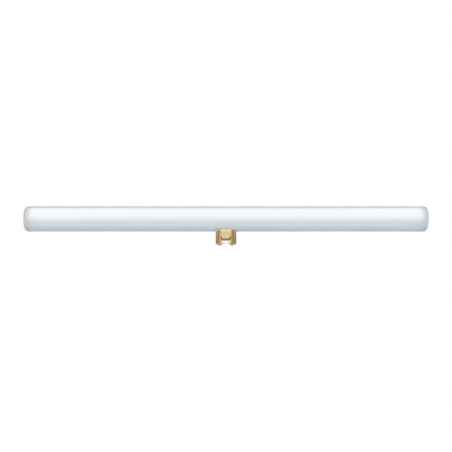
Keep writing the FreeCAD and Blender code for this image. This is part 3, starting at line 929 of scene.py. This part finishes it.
@dataclass(frozen=True)
class Studio:
    """The camera, the softbox, the floor and the room round the lamp."""

    tube: GlassTube
    image_width: float = 452.0
    tube_pixels: float = 403.4
    tube_above_centre: float = 6.95
    camera_distance: float = 1.5
    camera_drop: float = math.radians(9.0)
    sensor: float = 36.0
    softbox_radius: float = 1.2
    softbox_half_length: float = 0.4382
    softbox_corner: float = 0.011
    softbox_low: float = math.radians(12.5)
    softbox_high: float = math.radians(104.0)
    softbox_rows: int = 48
    floor_drop: float = 0.45
    floor_size: float = 40.0
    flag_half_width: float = 0.95
    flag_near: float = 0.42
    flag_far: float = 1.15
    wing_near_inner: float = 0.47
    wing_far_inner: float = 2.3
    wing_far_outer: float = 9.0
    wing_far: float = 12.0
    back_light: float = 1.5
    back_light_spread: float = math.radians(4.0)
    back_light_turn: float = math.radians(35.0)
    ambient: Colour = (0.17, 0.20, 0.23, 1.0)
    front_fill: Colour = (2.39, 2.42, 2.47, 1.0)
    fill_range: Range = (-0.6, 1.0)
    side_dark: float = 0.5
    side_range: Range = (0.4, 1.0)
    room: Colour = (0.355, 0.265, 0.14, 1.0)
    ceiling: Colour = (0.09, 0.14, 0.20, 1.0)
    ceiling_range: Range = (0.35, 0.75)
    front_low: Colour = (0.75, 0.75, 0.745, 1.0)
    front_room: Colour = (0.67, 0.67, 0.665, 1.0)
    front_rise: Range = (0.03, 0.14)
    front_range: Range = (0.55, 0.98)
    front_ahead: float = 0.995
    front_left: float = 0.10
    white_range: Range = (0.94, 0.98)

    def place_camera(self) -> bpy.types.Object:
        """Puts the camera at the photograph's viewing angle, a little under the lamp.

        Returns:
            The camera.
        """
        pixel = self.tube.length / self.tube_pixels
        aim = Vector((0.0, 0.0, self.tube.axis_height - self.tube_above_centre * pixel))
        back = Vector((0.0, -math.cos(self.camera_drop), -math.sin(self.camera_drop)))
        data = bpy.data.cameras.new("camera")
        data.sensor_width = self.sensor
        data.lens = self.sensor * self.camera_distance / (pixel * self.image_width)
        camera = bpy.data.objects.new("camera", data)
        bpy.context.scene.collection.objects.link(camera)
        camera.location = aim + back * self.camera_distance
        camera.rotation_euler = (math.pi / 2 + self.camera_drop, 0.0, 0.0)
        bpy.context.scene.camera = camera
        return camera

    def mirror_height(self, angle: float) -> float:
        """Gives where the tube mirrors light from an angle, from 0 at its middle to 1 at its top."""
        return math.sin((angle + self.camera_drop) / 2)

    def hang_softbox(self, cloth: Finish) -> bpy.types.Object:
        """Hangs a curved softbox over the lamp, from low in front to just past overhead.

        Args:
            cloth: The softbox's finish.

        Returns:
            The softbox.
        """
        builder = bmesh.new()
        layer = builder.loops.layers.uv.new("UVMap")
        low, high = (self.mirror_height(angle) for angle in (self.softbox_low, self.softbox_high))
        edges = []
        for index in range(self.softbox_rows + 1):
            share = index / self.softbox_rows
            angle = self.softbox_low + (self.softbox_high - self.softbox_low) * share
            swing = (2 * self.mirror_height(angle) - low - high) / (high - low)
            half = self.softbox_half_length - self.softbox_corner * (1 - math.sqrt(max(0.0, 1 - swing**2)))
            y = -self.softbox_radius * math.cos(angle)
            z = self.tube.axis_height + self.softbox_radius * math.sin(angle)
            edges.append([(builder.verts.new((side.way * half, y, z)), share) for side in Side])
        for (low_left, low_right), (high_left, high_right) in zip(edges, edges[1:]):
            corners = (low_left, high_left, high_right, low_right)
            face = builder.faces.new([vertex for vertex, _ in corners])
            for loop, (vertex, share) in zip(face.loops, corners):
                loop[layer].uv = (0.0 if vertex.co.x < 0 else 1.0, share)
        softbox = add_piece("softbox", finish_mesh(builder, "softbox"))
        softbox.data.materials.append(cloth.material())
        softbox.visible_camera = False
        softbox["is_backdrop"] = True
        return softbox

    def lay_floor(self, finish: Finish) -> bpy.types.Object:
        """Lays the floor well below the lamp, which hangs clear of it as in the photograph.

        Args:
            finish: The floor's finish.

        Returns:
            The floor.
        """
        builder = bmesh.new()
        bmesh.ops.create_grid(builder, x_segments=1, y_segments=1, size=self.floor_size / 2)
        bmesh.ops.translate(builder, verts=builder.verts, vec=(0.0, 0.0, -self.floor_drop))
        floor = add_piece("floor", finish_mesh(builder, "floor"))
        floor.data.materials.append(finish.material())
        floor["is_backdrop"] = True
        return floor

    def lay_flags(self, finish: Finish) -> list[bpy.types.Object]:
        """Lays dark cloths that the camera doesn't see: one under it, and one past it on each side.

        Args:
            finish: The cloths' finish.

        Returns:
            The cloths.
        """
        material = finish.material()
        wide, near, far, end = self.flag_half_width, -self.flag_near, -self.flag_far, -self.wing_far
        middle = [(-wide, far), (wide, far), (wide, near), (-wide, near)]
        cloths = [self.lay_cloth("dark_cloth", middle, material)]
        wing = [(self.wing_near_inner, far), (wide, far)]
        wing += [(self.wing_far_outer, end), (self.wing_far_inner, end)]
        for side in Side:
            corners = [(side.way * x, y) for x, y in wing]
            cloths.append(self.lay_cloth(f"dark_cloth_{side.value}", corners, material))
            cloths[-1].visible_diffuse = False
        return cloths

    def lay_cloth(
        self, name: str, corners: Sequence[tuple[float, float]], material: bpy.types.Material
    ) -> bpy.types.Object:
        """Lays one cloth, a millimetre above the floor.

        Args:
            name: Its name.
            corners: Its corners in plan.
            material: Its material.

        Returns:
            The cloth.
        """
        builder = bmesh.new()
        builder.faces.new([builder.verts.new((x, y, MM - self.floor_drop)) for x, y in corners])
        cloth = add_piece(name, finish_mesh(builder, name))
        cloth.data.materials.append(material)
        cloth.visible_camera = False
        cloth.visible_shadow = False
        cloth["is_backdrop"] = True
        return cloth

    def stand_back_lights(self) -> list[bpy.types.Object]:
        """Stands a soft light behind each end of the lamp, for its back and its ends.

        The lights lie just past what the camera's side of the tube can see, so they don't reach it.

        Returns:
            The two lights.
        """
        lights = []
        for side in Side:
            data = bpy.data.lights.new(f"back_light_{side.value}", "SUN")
            data.energy = self.back_light
            data.angle = self.back_light_spread
            light = bpy.data.objects.new(data.name, data)
            bpy.context.scene.collection.objects.link(light)
            light.rotation_euler = (-math.pi / 2, 0.0, -side.way * self.back_light_turn)
            light.visible_glossy = False
            lights.append(light)
        return lights

    def light_room(self) -> bpy.types.World:
        """Fills the room: white behind the lamp, pale in front, brown to the sides and blue overhead.

        Matt surfaces are lit by a fill of their own, strongest in front and darker to the sides.

        Returns:
            The world.
        """
        world = bpy.data.worlds.new("studio")
        world.use_nodes = True
        world.node_tree.nodes.clear()
        weaver = Weaver(world.node_tree)
        camera, glossy, transmission = weaver.rays()
        sideways, depth, height = weaver.split(weaver.signal("ShaderNodeTexCoord", "Generated"))
        ahead = 0.0 - depth
        mirrored = weaver.mix(weaver.ramp(height, *self.ceiling_range), self.room, self.ceiling)
        front = weaver.mix(weaver.ramp(height, *self.front_rise), self.front_low, self.front_room)
        facing = self.front_ahead * ahead - self.front_left * sideways
        mirrored = weaver.mix(weaver.ramp(facing, *self.front_range), mirrored, front)
        mirrored = weaver.mix(weaver.ramp(depth, *self.white_range), mirrored, WHITE)
        fill = weaver.mix(weaver.ramp(ahead, *self.fill_range), self.ambient, self.front_fill)
        aside = weaver.ramp(abs(sideways), *self.side_range)
        fill = weaver.mix(aside * self.side_dark, fill, BLACK)
        colour = weaver.mix((glossy + transmission).at_most(1.0), fill, mirrored)
        colour = weaver.mix(camera, colour, WHITE)
        background = weaver.add("ShaderNodeBackground", sockets={"Color": colour, "Strength": 1.0})
        weaver.add("ShaderNodeOutputWorld", sockets={"Surface": background.outputs[0]})
        bpy.context.scene.world = world
        return world

    def build(self) -> None:
        """Sets the whole studio up, with the Standard view transform."""
        bpy.context.scene.view_settings.view_transform = "Standard"
        self.place_camera()
        self.hang_softbox(SoftboxCloth("softbox_cloth"))
        self.lay_floor(Backdrop("floor_paper"))
        self.lay_flags(DarkCloth("dark_cloth"))
        self.stand_back_lights()
        self.light_room()


def smooth_step(share: float) -> float:
    """Eases a share from 0 to 1."""
    share = max(0.0, min(1.0, share))
    return share * share * (3.0 - 2.0 * share)


def smooth_least(first: float, second: float, reach: float) -> float:
    """Gives the smaller of two values, rounded where they are within reach of each other."""
    lag = max(0.0, reach - abs(first - second)) / reach
    return min(first, second) - lag * lag * reach / 4


def smooth_most(first: float, second: float, reach: float) -> float:
    """Gives the larger of two values, rounded where they are within reach of each other."""
    return -smooth_least(-first, -second, reach)


def spread(stops: Sequence[float], step: float) -> Iterator[float]:
    """Goes through rising stops with at most a step between points, falling exactly on each stop."""
    counts = [max(1, math.ceil((high - low) / step)) for low, high in zip(stops, stops[1:])]
    yield from divide(stops, counts)


def divide(stops: Sequence[float], counts: Sequence[int]) -> Iterator[float]:
    """Goes through stops with a given number of steps in each stretch.

    Args:
        stops: The stops in rising order.
        counts: The number of steps in each stretch.

    Yields:
        Each point.
    """
    yield stops[0]
    for low, high, count in zip(stops, stops[1:], counts):
        for index in range(1, count + 1):
            yield low + (high - low) * index / count


def finish_mesh(builder: bmesh.types.BMesh, name: str) -> bpy.types.Mesh:
    """Turns what a builder holds into a mesh, and frees the builder."""
    mesh = bpy.data.meshes.new(name)
    builder.to_mesh(mesh)
    builder.free()
    return mesh


def add_piece(name: str, mesh: bpy.types.Mesh) -> bpy.types.Object:
    """Puts a mesh in the scene as an object at the origin."""
    mesh.name = name
    piece = bpy.data.objects.new(name, mesh)
    bpy.context.scene.collection.objects.link(piece)
    return piece


def bake_group(group: bpy.types.NodeTree, values: Mapping[str, float]) -> bpy.types.Mesh:
    """Runs a geometry group and returns its result as a plain mesh.

    Args:
        group: The node group.
        values: The group's inputs by name.

    Returns:
        The plain mesh.
    """
    carrier = add_piece(f"{group.name}_carrier", bpy.data.meshes.new(group.name))
    modifier = carrier.modifiers.new("rule", "NODES")
    modifier.node_group = group
    for item in group.interface.items_tree:
        if item.item_type == "SOCKET" and item.in_out == "INPUT":
            modifier[item.identifier] = values[item.name]
    evaluated = carrier.evaluated_get(bpy.context.evaluated_depsgraph_get())
    mesh = bpy.data.meshes.new_from_object(evaluated)
    carrier.modifiers.remove(modifier)
    bpy.data.objects.remove(carrier)
    return mesh


def turn_outwards(mesh: bpy.types.Mesh) -> None:
    """Merges a mesh's doubles, points its faces outwards and shades them smooth."""
    builder = bmesh.new()
    builder.from_mesh(mesh)
    bmesh.ops.remove_doubles(builder, verts=builder.verts, dist=MERGE_REACH)
    bmesh.ops.recalc_face_normals(builder, faces=builder.faces)
    for face in builder.faces:
        face.smooth = True
    builder.to_mesh(mesh)
    builder.free()


def round_edges(piece: bpy.types.Object, width: float, least_angle: float) -> bpy.types.Modifier:
    """Rounds a piece's edges.

    Args:
        piece: The piece.
        width: How far each edge is rounded.
        least_angle: How sharp an edge must be to be rounded.

    Returns:
        The modifier that rounds them.
    """
    rounding = piece.modifiers.new("edges", "BEVEL")
    rounding.width = width
    rounding.segments = EDGE_SEGMENTS
    rounding.limit_method = "ANGLE"
    rounding.angle_limit = least_angle
    return rounding


def dress_piece(piece: bpy.types.Object, finish: Finish) -> None:
    """Gives every face of a piece one finish."""
    piece.data.materials.clear()
    piece.data.materials.append(finish.material())


def dress_node(node: str, finish: Finish) -> bpy.types.Object:
    """Gives a CAD node that stays its finish, through its material slots.

    Args:
        node: The node's name.
        finish: Its finish.

    Returns:
        The node's object.
    """
    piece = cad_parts[node]
    material = finish.material()
    for slot in piece.material_slots:
        slot.material = material
    report(piece)
    return piece


def soften_node(node: str, name: str, edge: float, finish: Finish) -> bpy.types.Object:
    """Copies a CAD node, merges its loose triangles and rounds its edges.

    Args:
        node: The node's name.
        name: The name of the piece that stands for it.
        edge: How far each edge is rounded.
        finish: The piece's finish.

    Returns:
        The finished piece.
    """
    builder = bmesh.new()
    builder.from_mesh(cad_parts[node].data)
    bmesh.ops.remove_doubles(builder, verts=builder.verts, dist=CAD_MERGE_REACH)
    bmesh.ops.dissolve_limit(builder, angle_limit=FLAT_ANGLE, verts=builder.verts, edges=builder.edges)
    mesh = finish_mesh(builder, name)
    mesh.shade_smooth()
    mesh.set_sharp_from_angle(angle=SMOOTH_ANGLE)
    piece = add_piece(name, mesh)
    round_edges(piece, edge, CAD_EDGE_ANGLE).harden_normals = True
    dress_piece(piece, finish)
    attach(piece, BODY)
    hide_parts(node)
    report(piece)
    return piece


def report(piece: bpy.types.Object) -> None:
    """Logs a finished piece with its number of faces."""
    log.info("%s: %d faces", piece.name, len(piece.data.polygons))


def all_finishes(tube: GlassTube) -> dict[str, Finish]:
    """Lists the lamp's finishes by the record's slots."""
    nickel, dull_nickel = (0.72, 0.70, 0.66, 1.0), (0.5, 0.48, 0.44, 1.0)
    tin, dull_tin = (0.74, 0.74, 0.73, 1.0), (0.5, 0.5, 0.49, 1.0)
    finishes = (
        OpalGlass("opal_glass", tube.length / 2),
        DrawnBrass("cap_brass", bulge=0.2 * MM),
        DrawnBrass("contact_brass", lines=Pattern(5200.0, 3.0, 0.6, (0.03, 1.0, 1.0)), tone_amount=0.2),
        IvoryMoulding("ivory_insulator"),
        BasingCement("basing_cement"),
        SoftMetal("wire_nickel", nickel, dull_nickel, Pattern(3000.0), 0.004 * MM, 0.2),
        SoftMetal("solder_tin", tin, dull_tin, Pattern(1800.0), 0.02 * MM, 0.24),
    )
    return {finish.slot: finish for finish in finishes}


def main() -> None:
    """Builds the studio and the lamp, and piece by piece."""
    logging.basicConfig(level=logging.INFO, format="%(name)s: %(message)s")
    tube = GlassTube()
    finishes = all_finishes(tube)
    Studio(tube).build()
    tube.build(finishes["opal_glass"])
    CapShell(tube=tube).build(finishes["cap_brass"])
    CapInsides().build(finishes)
    boxes = {"cad": CAD_BOX, "visual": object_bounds()}
    {name: [list(corner) for corner in box] for name, box in boxes.items()}


if __name__ == "__main__":
    main()
